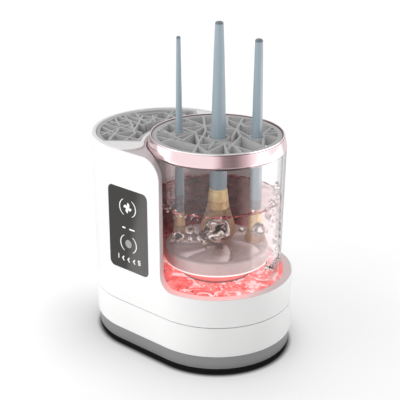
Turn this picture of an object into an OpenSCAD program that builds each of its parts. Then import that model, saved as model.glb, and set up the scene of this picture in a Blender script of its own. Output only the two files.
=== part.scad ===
// Brush cleaner with a washing cup, a drying tower and a touch panel. Millimetres, +Z up.
// The origin is on the table, under the middle of the housing; the cup end points along +X
// and the control panel faces -Y.

/* [Housing] */
// Overall length of the housing
housing_l = 148; // [146:1:150]
// Overall width of the housing
housing_w = 104; // [104:1:106]
// Height of the tower's top face
tower_z = 142; // [141:0.5:143]
// Height of the ledge around the cup
ledge_z = 53; // [52:0.5:54]
// Height of the seam between the two housing shells
seam_z = 33; // [32:0.5:33.5]
// Height of the gray base band's upper edge
band_z = 11.5; // [11:0.5:12.5]
// Inset of the gray base band from the white housing
band_inset = 1.2; // [0.8:0.1:1.6]
// Wall thickness of the housing shells
wall = 2.5; // [2.2:0.1:2.6]
// Thickness of the rubber sole under the base
foot_h = 2; // [1.5:0.5:2.5]
// Distance from the middle to the face where the tower wraps the cup
wrap_x = 18; // [16:0.5:19]

/* [Cup] */
// Outer radius of the cup at its mouth
cup_top_r = 45.7; // [45.3:0.1:45.8]
// Outer radius of the cup at its floor
cup_low_r = 43.8; // [43.4:0.1:44]
// Thickness of the cup's wall
cup_wall = 2.2; // [1.8:0.1:2.4]
// Height of the cup's mouth
cup_z = 140.4; // [139.5:0.1:140.5]
// Radius of the pocket that the cup stands in, at its floor
pocket_r = 45.8; // [45.6:0.1:46]

/* [Wash disc] */
// Radius of the turning wash disc
disc_r = 35.5; // [33:0.5:37]
// Height of the wash disc's lower edge
disc_low_z = 61.8; // [61:0.1:63]
// Height of the wash disc's top face
disc_top_z = 71; // [69:0.5:71]
// Number of curved ribs on the disc
rib_count = 7; // [5:1:9]

/* [Brush holder] */
// Outer radius of the metal ring
ring_r = 46; // [45.8:0.1:46.1]
// Outer radius of the holder ring's lip, which the ring narrows to
ring_lip_r = 44.3; // [44.1:0.1:45]
// Height of the metal ring's lower edge
ring_low_z = 140.6; // [140.5:0.1:141.5]
// Height of the metal ring's top edge
ring_top_z = 149.5; // [149:0.5:151]
// Width of the silicone ribs
web_w = 1.4; // [1.2:0.1:1.6]
// Height of the silicone ribs
web_h = 6.8; // [5:0.2:7.2]

/* [Touch panel] */
// Width of the glass panel
panel_w = 36; // [34:1:38]
// Height of the glass panel
panel_h = 58.5; // [56:0.5:60]
// Position of the panel's middle along X
panel_x = -10.5; // [-12:0.5:-9]
// Height of the panel's middle
panel_z = 87.3; // [86:0.1:89]

/* [Hidden] */
$fn = 96;

// Housing
half_w = housing_w / 2;
end_x = (housing_l - housing_w) / 2;
band_r = half_w - band_inset;
seam_gap = 0.6;
low_top_z = seam_z - seam_gap / 2;
up_low_z = seam_z + seam_gap / 2;
boss_ring_r = half_w - 6.2;
boss_angle = 55;
boss_r = 4;
screw_r = 1.4;
foot_x = 47;
foot_y = 23;
foot_r = 7;
wrap_angle = 24;
wrap_top_r = 14;
wrap_rise = 0.3; // lets the rounding cut the top face, so that it isn't exactly tangent
wrap_low_r = 10;
// Well under the cup
well_z = 37;
well_t = 2.5;
pocket_wall = 2.5;
pocket_flare = 0.8; // the pocket widens by this towards its mouth, as the cup does
deck_t = 3;
// Tower tray: the nose is the round corner between the outer wall and the pocket
tray_r = half_w - 0.4;
tray_pocket_r = pocket_r + 2.2;
nose_r = 10;
nose_over = 0.03; // lets the nose circle cut its neighbours, so that it isn't exactly tangent
nose_x = (pow(tray_r - nose_r, 2) - pow(tray_pocket_r + nose_r, 2)) / (4 * end_x);
nose_y = sqrt(pow(tray_r - nose_r, 2) - pow(nose_x + end_x, 2));
rim_w = 2.2;
tray_drop_inset = 1.2; // from the tray's outline to the hole that the tray drops into
rim_z = tower_z + 1;
tray_gap = 0.3;
// The silicone rack in the tower, with its front and back corners cut off at a slant
rack_inset = 2.9;
rack_cut_at = [-19.1, 30.8];
rack_cut_angle = 38.7;
rack_border = 2.2;
// Panel and its print
panel_t = 1.5;
panel_r = 4;
panel_front_y = -half_w + 0.15;
print_t = 0.12;
panel_low_z = panel_z - panel_h / 2;
fan_icon_z = panel_low_z + 45.3;
timer_z = panel_low_z + 30.5;
pad_z = panel_low_z + 19.5;
scale_z = panel_low_z + 7.8;
arc_r = 6.1;
arc_spread = 1.6;
arc_gap = 7.6;
line_w = 0.75;
chevron_w = 0.85;
digit_w = 0.7;
pad_r = 2.9;
// Cup and drive
foot_ring_z = 42;
cup_base_z = 47.5;
cup_floor_z = 49.5;
cup_floor_t = 2.5;
dog_r = 8;
dog_lug_h = 2.6;
dog_lug_w = 3.8;
spindle_r = 2.5;
spindle_h = 25.4;
spindle_low_z = foot_ring_z + 1;
shaft_r = 1.5;
running_gap = 0.05;
hub_r = 24.5;
// Drying fan in the base, under the tower
fan_x = -35;
fan_size = 50;
fan_low_z = 9;
fan_h = 12;
usb_x = -6;
usb_z = 22;

// Brushes: place of each in the plan, then its heights and radii
small_at = [0.8, -13.7];
large_at = [26.3, -3.7];
medium_at = [45.1, 12.7];
hair_z = 74;

// Silicone ribs of the brush holder, as [x1, y1, x2, y2] from the cup's axis
HOLDER_RIBS = [
  [-10, 0, 14, -40], [-11, 41, 11, 2], [14, 8, 24, -18], [22, 21, 37, 1],
  [16, 40, 22, 21], [22, 21, 30, 33], [25, 19, 42, 22], [14, 7, 43, -1],
  [3, 16, 25, 8], [-3, 27, 3, 42], [-34, 25, -10, 0], [-19, 39, -17, 8],
  [-17, 8, -14, -6], [-42, -4, -14, -6], [-10, 0, 8, 0], [-17, 8, 4, 16],
  [-40, -14, -11, -24], [-33, -28, -14, -6], [-14, -6, -16, -40],
  [-31, -30, 5, -26], [5, -26, 26, -34], [14, -10, 30, -25], [26, -12, 38, -20],
  [-7, -10, 42, -12], [20, -38, 16, -10], [5, -26, 16, -10], [-17, 29, 4, 26],
  [4, 26, 16, 40], [-42, 12, -17, 8], [-14, -6, 2, -20], [-34, -20, -20, -19],
  [-34, -20, -40, -2], [-40, -2, -29, 7], [-16, -32, -9, -23], [-9, -23, -12, -10],
  [-21, 35, -8, 20], [-8, 20, 4, 15], [15, 7, 4, 15], [14, -9, 20, -8],
  [-25, -5, -18, 7], [-25, -5, -20, -19], [7, -10, 14, -24], [27, 33, 11, 23]
];
// Silicone ribs of the tower rack, as [x1, y1, x2, y2] from the tower's axis
RACK_RIBS = [
  [-46, -20, -10, -16], [-36, -34, 4, -27], [-50, -1, -20, -3], [-46, 6, -30, 28],
  [-40, 12, -18, 16], [-26, -22, -12, -46], [-46, -20, -30, -40], [-49, -12, -20, -12],
  [-36, -1, -12, -20], [-36, -1, -42, -20], [-28, -12, -26, -40], [-18, -14, -36, 12],
  [-30, 28, -8, 22], [-40, 28, -20, 40], [-18, 16, -26, 42], [-14, 24, -6, 46],
  [-22, 0, -14, 24], [-20, 34, 2, 30], [-12, -20, -4, -40], [-50, 6, -22, 4],
  [-38, -25, -21, -29], [-21, -29, -16, -17], [-48, -4, -32, -15], [-32, -15, -27, -7],
  [-27, -7, -21, -15], [-46, 4, -35, -3], [-44, 13, -31, 5], [-31, 5, -23, 9],
  [-31, 17, -21, 9], [-20, 0, -29, 19], [-17, -39, -21, -29], [-27, 34, -20, 21]
];

// ---------- shared shapes ----------

// Stadium outline of the housing
module stadium(r) {
  for (side = [-1, 1]) translate([side * end_x, 0]) circle(r);
  square([2 * end_x, 2 * r], center = true);
}

module slab(z0, z1) {
  translate([0, 0, z0]) linear_extrude(z1 - z0) children();
}

module at_cup() {
  translate([end_x, 0, 0]) children();
}

module at_tower() {
  translate([-end_x, 0, 0]) children();
}

module tube(r_out, r_in, z0, z1) {
  slab(z0, z1) difference() {
    circle(r_out);
    circle(r_in);
  }
}

// Rounded rectangle about its middle
module round_rect(w, h, r) {
  square([w - 2 * r, h], center = true);
  square([w, h - 2 * r], center = true);
  for (sx = [-1, 1], sy = [-1, 1]) translate([sx * (w / 2 - r), sy * (h / 2 - r)]) circle(r);
}

// The four screw bosses stand close to the end walls
module at_bosses() {
  for (side = [-1, 1], turn = [-1, 1])
    translate([side * (end_x + boss_ring_r * cos(boss_angle)), turn * boss_ring_r * sin(boss_angle)])
      children();
}

// Places a front-view drawing on a plane that faces -Y, y being its outer face
module on_front(y, t) {
  translate([0, y + t, 0]) rotate([90, 0, 0]) linear_extrude(t) children();
}

// Plan of the tower's tray, drawn in by inset all round
module tray_outline(inset) {
  out_r = tray_r - inset;
  in_r = tray_pocket_r + inset;
  n_r = nose_r - inset + nose_over;
  difference() {
    translate([-end_x, 0]) circle(out_r);
    translate([end_x, 0]) circle(in_r);
    for (side = [-1, 1]) nose_wedge(side);
  }
  for (side = [-1, 1]) translate([nose_x, side * nose_y]) circle(n_r);
}

// What lies beyond the nose, from its middle out to both tangent points and past them
module nose_wedge(side) {
  out = [nose_x + end_x, nose_y] * 2;
  in = [nose_x - end_x, nose_y] * 0.5;
  polygon([
    [nose_x, side * nose_y],
    [-end_x + out[0], side * out[1]],
    [end_x, side * housing_w],
    [end_x + in[0], side * in[1]]
  ]);
}

// Plan of the rack, drawn in by inset all round
module rack_outline(inset) {
  difference() {
    translate([-end_x, 0]) circle(tray_r - rack_inset - inset);
    translate([end_x, 0]) circle(tray_pocket_r + rack_inset + inset);
    for (side = [-1, 1])
      translate([rack_cut_at[0], side * rack_cut_at[1]])
        rotate(-side * rack_cut_angle)
          translate([-housing_l / 2, side < 0 ? -housing_l + inset : -inset])
            square(housing_l);
  }
}

module web(ribs) {
  for (rib = ribs) {
    run = [rib[2] - rib[0], rib[3] - rib[1]];
    translate([rib[0], rib[1]])
      rotate(atan2(run[1], run[0]))
        translate([-web_w / 2, -web_w / 2])
          square([norm(run) + web_w, web_w]);
  }
}

// ---------- housing ----------

// A ring of black rubber with four pads that plug into the base; open at the back for the fan's air
module rubber_sole() {
  color("#2b2b2b") {
    slab(0, foot_h) difference() {
      stadium(band_r - 0.4);
      stadium(band_r - 11);
      translate([fan_x - fan_size / 2, 0]) square([fan_size, housing_w]);
    }
    for (sx = [-1, 1], sy = [-1, 1])
      translate([sx * foot_x, sy * foot_y, 0]) cylinder(r = foot_r, h = foot_h + 1);
  }
}

module base_cover() {
  floor_z = foot_h + wall;
  color("#969696") difference() {
    union() {
      slab(foot_h, floor_z) stadium(band_r);
      slab(foot_h, band_z) difference() {
        stadium(band_r);
        stadium(band_r - 2.2);
      }
      slab(foot_h, band_z) at_bosses() circle(3.8);
      for (sx = [-1, 1], sy = [-1, 1])
        translate([fan_x + sx * (fan_size / 2 - 4), sy * (fan_size / 2 - 4), foot_h])
          cylinder(r = 3, h = fan_low_z - foot_h);
      for (sy = [-1, 1]) translate([end_x + 30, sy * 18, foot_h]) cylinder(r = 3, h = 14 - foot_h);
    }
    for (sx = [-1, 1], sy = [-1, 1])
      translate([sx * foot_x, sy * foot_y, foot_h - 1]) cylinder(r = foot_r + 0.2, h = 2);
    slab(foot_h - 1, band_z + 1) at_bosses() circle(screw_r + 0.4);
    slab(foot_h - 1, foot_h + 3) at_bosses() circle(3.1);
    for (i = [-3:3])
      translate([fan_x + i * 5.5, 0, foot_h + wall / 2]) cube([2.6, 30, wall + 2], center = true);
  }
}

module lower_housing() {
  color("#f4f4f2") difference() {
    union() {
      slab(band_z, low_top_z) difference() {
        stadium(half_w);
        stadium(half_w - wall);
      }
      slab(band_z, seam_z - 4) at_bosses() circle(boss_r);
    }
    slab(band_z - 1, seam_z) at_bosses() circle(screw_r + 0.3);
    on_front(half_w - 6, 8) translate([usb_x, usb_z]) round_rect(9.6, 3.9, 1.9);
  }
}

// The opening that bares the cup: its left edge is the wrap face, rounded above and below
module wrap_profile() {
  top = tower_z - ledge_z;
  difference() {
    square([housing_l, top + 10]);
    difference() {
      square(wrap_low_r);
      translate([wrap_low_r, wrap_low_r]) circle(wrap_low_r);
    }
  }
  translate([-wrap_top_r, top - wrap_top_r + wrap_rise]) difference() {
    square([wrap_top_r + 0.1, wrap_top_r + 10]);
    circle(wrap_top_r);
  }
}

module wrap_cut() {
  for (side = [-1, 1])
    translate([wrap_x, side * half_w, ledge_z])
      rotate([0, 0, -side * wrap_angle])
        rotate([90, 0, 0])
          linear_extrude(64, center = true) wrap_profile();
}

// Hollow of the tower, between the outer wall and the wall of the pocket
module tower_hollow() {
  difference() {
    intersection() {
      stadium(half_w - wall);
      translate([-housing_l, -housing_w]) square([housing_l + 10, 2 * housing_w]);
    }
    translate([end_x, 0]) circle(pocket_r + pocket_wall);
  }
}

module upper_housing() {
  color("#f6f6f4") difference() {
    union() {
      difference() {
        slab(up_low_z, tower_z) stadium(half_w);
        slab(up_low_z - 1, well_z - well_t) stadium(half_w - wall);
        slab(well_z - well_t - 1, tower_z - deck_t) tower_hollow();
      }
      // Tongue inside the lower shell
      slab(seam_z - 3, up_low_z + 1.5) difference() {
        stadium(half_w - wall - 0.2);
        stadium(half_w - wall - 1.7);
      }
      slab(up_low_z, up_low_z + 1.5) difference() {
        stadium(half_w - wall + 0.5);
        stadium(half_w - wall - 1);
      }
      slab(seam_z - 3.8, well_z - well_t + 0.5) at_bosses() circle(boss_r);
    }
    at_cup() translate([0, 0, well_z])
      cylinder(r1 = pocket_r, r2 = pocket_r + pocket_flare, h = rim_z - well_z);
    at_cup() cylinder(r = dog_r + 1.5, h = well_z + 1);
    wrap_cut();
    slab(tower_z - 12.4, tower_z + 1) tray_outline(tray_drop_inset);
    slab(seam_z - 5, well_z - 1.5) at_bosses() circle(screw_r);
    on_front(-half_w - 1, 1.15 + panel_t) translate([panel_x, panel_z])
      round_rect(panel_w + 0.3, panel_h + 0.3, panel_r + 0.15);
    on_front(-half_w - 1, 6) translate([panel_x, panel_z])
      round_rect(panel_w - 5, panel_h - 5, 2);
  }
}

module housing_screws() {
  color("#b8b8bb") at_bosses() {
    translate([0, 0, foot_h + 0.8]) cylinder(r = 2.8, h = 2.1);
    translate([0, 0, foot_h + 2.8]) cylinder(r = screw_r - 0.02, h = 29.5);
  }
}

module tray_frame() {
  color("#efefed") difference() {
    union() {
      slab(tower_z, rim_z) tray_outline(0);
      slab(tower_z - 12, tower_z) tray_outline(tray_drop_inset + tray_gap / 2);
    }
    slab(rim_z - 0.8, rim_z + 1) tray_outline(rim_w);
    slab(tower_z - 11, rim_z) rack_outline(2 - tray_gap);
    slab(tower_z - 13, tower_z - 10) rack_outline(3.5);
    slab(tower_z - 9, rim_z) rack_outline(-tray_gap);
  }
}

module bin_outline(inset) {
  difference() {
    translate([-end_x, 0]) circle(43 - inset);
    translate([end_x, 0]) circle(pocket_r + pocket_wall + 2 + inset);
    for (side = [-1, 1])
      translate([-18 - inset, side < 0 ? -housing_w : 0]) square(housing_w);
  }
}

// Bin that catches drips under the rack; warm air comes up through its slotted floor
module drying_bin() {
  low = 62;
  color("#d9dadb") difference() {
    slab(low, tower_z - 12.3) bin_outline(0);
    slab(low + 2, tower_z) bin_outline(1.6);
    for (i = [-5:5])
      translate([-46, i * 5.5, low + 1]) cube([26, 2.6, 4], center = true);
  }
}

// ---------- controls ----------

module touch_panel() {
  color("#4a4a48") on_front(panel_front_y, panel_t) translate([panel_x, panel_z])
    round_rect(panel_w, panel_h, panel_r);
}

// Two crescents facing each other, thickest at their middles
module crescents() {
  for (turn = [0, 180]) rotate(turn) difference() {
    translate([arc_spread, 0]) circle(arc_r);
    translate([arc_spread - 0.9 * line_w, 0]) circle(arc_r - 0.1 * line_w);
    translate([arc_gap / 2 - 3 * arc_r, -2 * arc_r]) square([3 * arc_r, 4 * arc_r]);
  }
}

module fan_blade_icon() {
  intersection() {
    translate([0.1, 1.8]) circle(1.75);
    translate([-0.25, 0]) square([3, 4]);
  }
}

module chevron() {
  for (side = [-1, 1]) rotate(side * 48) translate([-chevron_w / 2, -chevron_w / 2]) square([2.6, chevron_w]);
}

module digit_one() {
  square([digit_w, 3.4], center = true);
}

module digit_five() {
  for (z = [-1.4, 0, 1.4]) translate([0, z]) square([2.2, digit_w], center = true);
  translate([-0.75, 0.7]) square([digit_w, 1.6], center = true);
  translate([0.75, -0.7]) square([digit_w, 1.6], center = true);
}

module pill(l) {
  square([l, 1], center = true);
  for (side = [-1, 1]) translate([side * l / 2, 0]) circle(0.5);
}

module panel_icons() {
  color("#f2f2f2") on_front(panel_front_y - print_t, print_t) translate([panel_x, 0]) {
    translate([0, fan_icon_z]) crescents();
    translate([0, fan_icon_z]) {
      circle(0.9);
      for (i = [0:3]) rotate(i * 90) fan_blade_icon();
    }
    translate([-4, timer_z]) pill(2);
    translate([3.6, timer_z]) pill(4);
    translate([0, pad_z]) crescents();
    translate([-9.6, scale_z + 0.6]) digit_one();
    for (i = [-1:1]) translate([i * 5.1 - 0.9, scale_z]) chevron();
    translate([9.6, scale_z + 0.6]) digit_five();
  }
}

module power_pad() {
  color("#9a9a9a") on_front(panel_front_y - print_t, print_t) translate([panel_x, pad_z]) circle(pad_r);
}

module control_board() {
  color("#1f6b3a") on_front(-half_w + 3.6, 1.6) translate([panel_x, panel_z])
    round_rect(28, 52, 1.5);
}

module control_chips() {
  color("#222222") on_front(-half_w + 5.2, 1.4) translate([panel_x, panel_z]) {
    translate([-4, 6]) square([9, 9], center = true);
    translate([6, -8]) square([5, 6], center = true);
    translate([-7, -14]) square([4, 7], center = true);
  }
}

// Springs that reach from the board to the back of the glass
module touch_springs() {
  back_y = panel_front_y + panel_t;
  color("#c9c9cc") on_front(back_y, -half_w + 3.6 - back_y) translate([panel_x, 0]) {
    for (z = [fan_icon_z, pad_z]) translate([0, z]) circle(3);
    for (x = [-4, 4]) translate([x, timer_z]) circle(2);
    for (i = [-1:1]) translate([i * 5.1, scale_z]) circle(1.8);
  }
}

// ---------- light and drive ----------

module light_ring() {
  color("#ff7a70") at_cup() difference() {
    translate([0, 0, well_z + 2.6]) cylinder(r = pocket_r - 0.4, h = 2.1);
    cylinder(r = 13, h = tower_z);
  }
}

module led_board() {
  color("#e8e8e4") at_cup() tube(40, 18, well_z + 0.1, well_z + 1.3);
}

module led_chips() {
  color("#ff5a50") at_cup() for (i = [0:11]) rotate(i * 30)
    translate([30, 0, well_z + 1.8]) cube([5, 5, 1], center = true);
}

module motor() {
  color("#8c8f94") at_cup() difference() {
    union() {
      translate([0, 0, 8]) cylinder(r = 13, h = 23);
      translate([0, 0, 31]) cylinder(r = 4, h = 3);
      translate([0, 0, 6.5]) cylinder(r = 5, h = 1.6);
    }
    translate([0, 0, 26]) cylinder(r = shaft_r + running_gap, h = 10);
  }
}

module motor_bracket() {
  color("#3f4043") at_cup() difference() {
    union() {
      translate([0, 0, 31.2]) cylinder(r = 19, h = 3.2);
      tube(15.5, 13.2, 20, 31.5);
    }
    cylinder(r = 4.2, h = well_z);
    for (i = [0:2]) rotate(i * 120 + 60) translate([16.8, 0, 0]) cylinder(r = 1.3, h = well_z);
  }
}

module motor_screws() {
  color("#b8b8bb") at_cup() for (i = [0:2]) rotate(i * 120 + 60) translate([16.8, 0, 0]) {
    translate([0, 0, 29]) cylinder(r = 1.25, h = 5.4);
  }
}

module drive_shaft() {
  color("#c8c8cc") at_cup() translate([0, 0, 26.5]) cylinder(r = shaft_r, h = 14.5);
}

// Three lugs on a coupling; the other half's lugs stand in the gaps between them
module dog_lugs(z, start) {
  for (i = [0:2]) rotate(start + i * 120) translate([5.6, 0, z + dog_lug_h / 2])
    cube([4, dog_lug_w, dog_lug_h], center = true);
}

module drive_dog() {
  disc_z = foot_ring_z - 2.6;
  color("#e4e4e0") at_cup() difference() {
    union() {
      translate([0, 0, disc_z]) cylinder(r = dog_r, h = 2.6);
      translate([0, 0, disc_z - 4]) cylinder(r = 3.5, h = 4.1);
      dog_lugs(foot_ring_z, 0);
    }
    translate([0, 0, disc_z - 5]) cylinder(r = shaft_r, h = 6.6);
  }
}

module power_board() {
  color("#1f6b3a") translate([end_x + 30, 0, 14]) slab(0, 1.6) round_rect(20, 44, 1.5);
}

module power_parts() {
  z = 15.6;
  translate([end_x + 30, 0, z]) {
    color("#2f2f33") translate([4, 12, 0]) cylinder(r = 4, h = 9);
    color("#5b5b60") translate([-3, 0, 0]) slab(0, 6) round_rect(11, 10, 1);
    color("#e9e6dc") translate([3, -14, 0]) slab(0, 7) round_rect(10, 7, 0.6);
  }
}

module usb_inlet() {
  color("#bfc1c4") difference() {
    on_front(half_w - 8, 7.8) translate([usb_x, usb_z]) round_rect(9, 3.3, 1.6);
    on_front(half_w - 7, 8) translate([usb_x, usb_z]) round_rect(8.3, 2.6, 1.25);
  }
  color("#2a2a2c") on_front(half_w - 7.5, 5.5) translate([usb_x, usb_z])
    square([6.6, 0.7], center = true);
}

module inlet_board() {
  color("#1f6b3a") translate([usb_x, half_w - 12, usb_z - 3.4]) slab(0, 1.5) round_rect(18, 14, 1);
}

// ---------- drying fan and heater ----------

module fan_frame() {
  color("#2e2e30") translate([fan_x, 0, 0]) {
    slab(fan_low_z, fan_low_z + fan_h) difference() {
      round_rect(fan_size, fan_size, 4);
      circle(23.5);
    }
    slab(fan_low_z, fan_low_z + 1.6) {
      circle(9);
      for (i = [0:3]) rotate(45 + i * 90) translate([8, -1.2]) square([17, 2.4]);
    }
  }
}

module fan_pin() {
  color("#c8c8cc") translate([fan_x, 0, fan_low_z + 1.6]) cylinder(r = shaft_r, h = 8.4);
}

module fan_rotor() {
  low = fan_low_z + 2;
  color("#3a3a3d") translate([fan_x, 0, low]) difference() {
    union() {
      cylinder(r = 9, h = 9);
      for (i = [0:6]) rotate(i * 360 / 7) translate([15, 0, 4.5]) rotate([38, 0, 0])
        cube([14, 1.2, 10], center = true);
    }
    translate([0, 0, -1]) cylinder(r = shaft_r + running_gap, h = 9.4);
  }
}

module heater_frame() {
  low = fan_low_z + fan_h + 0.2;
  color("#b9a98c") translate([fan_x, 0, low]) slab(0, 8) difference() {
    round_rect(fan_size - 2, fan_size - 2, 4);
    round_rect(38, 38, 2);
  }
}

module heater_fins() {
  low = fan_low_z + fan_h + 0.7;
  color("#a9abad") translate([fan_x, 0, low]) for (i = [-4:4])
    translate([i * 4.2, 0, 3.5]) cube([0.8, 38, 7], center = true);
}

// ---------- cup ----------

module cup_glass() {
  floor_top = cup_floor_z + cup_floor_t;
  color("#dfeaf0", 0.35) at_cup() rotate_extrude() polygon([
    [dog_r + 0.6, cup_floor_z], [cup_low_r, cup_floor_z],
    [cup_top_r, cup_z], [cup_top_r - cup_wall, cup_z],
    [cup_low_r - cup_wall, floor_top], [dog_r + 0.6, floor_top]
  ]);
}

module cup_base() {
  color("#f7d9d6") at_cup() difference() {
    union() {
      translate([0, 0, cup_base_z]) cylinder(r = cup_low_r - 0.4, h = cup_floor_z - cup_base_z);
      tube(cup_low_r - 0.4, 39.5, foot_ring_z, cup_base_z + 0.5);
      translate([0, 0, cup_base_z]) cylinder(r = dog_r + 0.5, h = 5.1);
    }
    translate([0, 0, cup_base_z - 1]) cylinder(r = 4.5, h = 8);
  }
}

module cup_bush() {
  color("#c9a24a") at_cup() tube(4.5, spindle_r + running_gap, cup_base_z, cup_base_z + 5.2);
}

module cup_seal() {
  color("#333333") at_cup() tube(6, spindle_r + 0.3, cup_base_z + 5.2, cup_base_z + 6);
}

module spindle() {
  color("#c8c8cc") at_cup() translate([0, 0, spindle_low_z]) cylinder(r = spindle_r, h = spindle_h);
}

module driven_dog() {
  disc_z = foot_ring_z + 2.9;
  color("#e4e4e0") at_cup() difference() {
    union() {
      translate([0, 0, disc_z]) cylinder(r = dog_r, h = 2.3);
      dog_lugs(disc_z - dog_lug_h, 60);
    }
    translate([0, 0, disc_z - 5]) cylinder(r = spindle_r, h = 10);
  }
}

module disc_hub() {
  low = cup_floor_z + cup_floor_t + 0.4;
  color("#f3dedb") at_cup() difference() {
    translate([0, 0, low]) cylinder(r = hub_r, h = disc_low_z - low);
    translate([0, 0, low - 1]) difference() {
      cylinder(r = hub_r - 2.2, h = disc_low_z - low - 1.5);
      translate([0, 0, 3]) cylinder(r = 6, h = 20);
    }
    cylinder(r = spindle_r, h = tower_z);
  }
}

module wash_disc() {
  edge_r = 1.6;
  color("#f0e6e4") at_cup() difference() {
    union() {
      translate([0, 0, disc_low_z]) cylinder(r = disc_r, h = disc_top_z - disc_low_z - edge_r);
      translate([0, 0, disc_low_z]) cylinder(r = disc_r - edge_r, h = disc_top_z - disc_low_z);
      translate([0, 0, disc_top_z - edge_r]) rotate_extrude()
        translate([disc_r - edge_r, 0]) circle(edge_r);
    }
    translate([0, 0, disc_low_z - 1]) difference() {
      cylinder(r = disc_r - 2.4, h = disc_top_z - disc_low_z - 1.8);
      cylinder(r = hub_r, h = 20);
    }
    translate([0, 0, spindle_low_z]) cylinder(r = spindle_r, h = spindle_h);
  }
}

// Curved ribs that wipe the bristles as the disc turns
module disc_ribs() {
  curve_r = 30;
  color("#f6efee") at_cup() slab(disc_top_z, disc_top_z + 2.4) for (i = [0:rib_count - 1])
    rotate(i * 360 / rib_count) intersection() {
      difference() {
        circle(disc_r - 3);
        circle(5);
      }
      translate([0, 4]) square([disc_r * 2, disc_r], center = false);
      translate([0, curve_r]) difference() {
        circle(curve_r);
        circle(curve_r - 2.2);
      }
    }
}

module disc_screw() {
  color("#d0d0d4") at_cup() {
    translate([0, 0, disc_top_z]) cylinder(r = 4, h = 1.4);
    translate([0, 0, disc_top_z + 1.4]) cylinder(r1 = 4, r2 = 3, h = 0.8);
  }
}

// ---------- holders ----------

module holder_ring() {
  color("#ecc3c6") at_cup() rotate_extrude() polygon([
    [41.2, ring_low_z - 2.6], [42, ring_low_z - 2.6], [42, ring_low_z],
    [ring_r, ring_low_z], [ring_r, ring_low_z + 0.8], [ring_lip_r, ring_top_z - 0.6],
    [ring_lip_r - 0.4, ring_top_z], [43.2, ring_top_z], [42.6, ring_top_z - 0.8],
    [42.6, ring_low_z + 1.2], [41.2, ring_low_z + 1.2]
  ]);
}

// The holes that the three handles pass through, made larger by grow
module brush_bores(grow) {
  translate([small_at[0] - end_x, small_at[1]]) circle(2.9 + grow);
  translate([large_at[0] - end_x, large_at[1]]) circle(5.7 + grow);
  translate([medium_at[0] - end_x, medium_at[1]]) circle(3.9 + grow);
}

module holder_lattice() {
  low = ring_low_z + 1.2;
  color("#a9abad") at_cup() slab(low, low + web_h) {
    difference() {
      circle(42.6);
      circle(39.6);
    }
    difference() {
      intersection() {
        circle(40.5);
        union() {
          web(HOLDER_RIBS);
          brush_bores(1.6);
        }
      }
      brush_bores(0);
    }
  }
}

module drying_lattice() {
  color("#9fa1a3") slab(tower_z - 8.8, tower_z + 0.2) {
    difference() {
      rack_outline(0);
      rack_outline(rack_border);
    }
    intersection() {
      rack_outline(rack_border / 2);
      translate([-end_x, 0]) web(RACK_RIBS);
    }
  }
}

// ---------- brushes ----------

// A turned shape, from pairs of [radius, height], standing at a place in the plan
module turned(at, points) {
  closed = concat([[0, points[0][1]]], points, [[0, points[len(points) - 1][1]]]);
  translate([at[0], at[1], 0]) rotate_extrude() polygon(closed);
}

module small_handle() {
  color("#a9bfca") turned(small_at, [
    [2.9, 92.6], [3.2, 105], [2.4, 148], [1.95, 171], [1.45, 208], [1.35, 211.4], [0.9, 212.5]
  ]);
}

module small_ferrule() {
  color("#dfc083") turned(small_at, [[3.6, 83], [3.1, 92.6]]);
}

module small_hair() {
  color("#c9a177") turned(small_at, [[3.6, hair_z], [4.7, hair_z + 1], [4.5, 78], [3.5, 83]]);
}

module large_handle() {
  color("#a9bfca") turned(large_at, [
    [5.8, 113.2], [5.9, 120], [4.95, 148], [4.3, 173], [3.55, 199], [2.9, 218], [2.65, 222.6], [1.8, 224]
  ]);
}

module large_ferrule() {
  color("#dfc083") turned(large_at, [[7.5, 99.8], [5.9, 113.2]]);
}

module large_hair() {
  color("#c9a177") turned(large_at, [
    [7, hair_z], [12, hair_z + 2], [13.4, 82], [12.8, 88], [9.6, 94], [7.4, 99.8]
  ]);
}

module medium_handle() {
  color("#a9bfca") turned(medium_at, [
    [3.9, 98.7], [4, 112], [3.5, 148], [3.15, 173], [2.75, 199], [2.5, 211.4], [1.7, 213]
  ]);
}

module medium_ferrule() {
  color("#dfc083") turned(medium_at, [[5, 84.3], [3.9, 98.7]]);
}

module medium_hair() {
  color("#c9a177") turned(medium_at, [[5.5, hair_z], [7.9, hair_z + 1], [6.6, 79], [4.9, 84.3]]);
}

rubber_sole();
base_cover();
lower_housing();
upper_housing();
housing_screws();
tray_frame();
drying_bin();
touch_panel();
panel_icons();
power_pad();
control_board();
control_chips();
touch_springs();
light_ring();
led_board();
led_chips();
motor();
motor_bracket();
motor_screws();
power_board();
power_parts();
usb_inlet();
inlet_board();
fan_frame();
fan_pin();
heater_frame();
heater_fins();
fan_rotor();
drive_shaft();
drive_dog();
cup_glass();
cup_base();
cup_bush();
cup_seal();
spindle();
driven_dog();
disc_hub();
wash_disc();
disc_ribs();
disc_screw();
holder_ring();
holder_lattice();
drying_lattice();
small_handle();
small_ferrule();
small_hair();
large_handle();
large_ferrule();
large_hair();
medium_handle();
medium_ferrule();
medium_hair();
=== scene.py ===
import math
import random

import bmesh
import bpy
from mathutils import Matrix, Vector, noise

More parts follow.
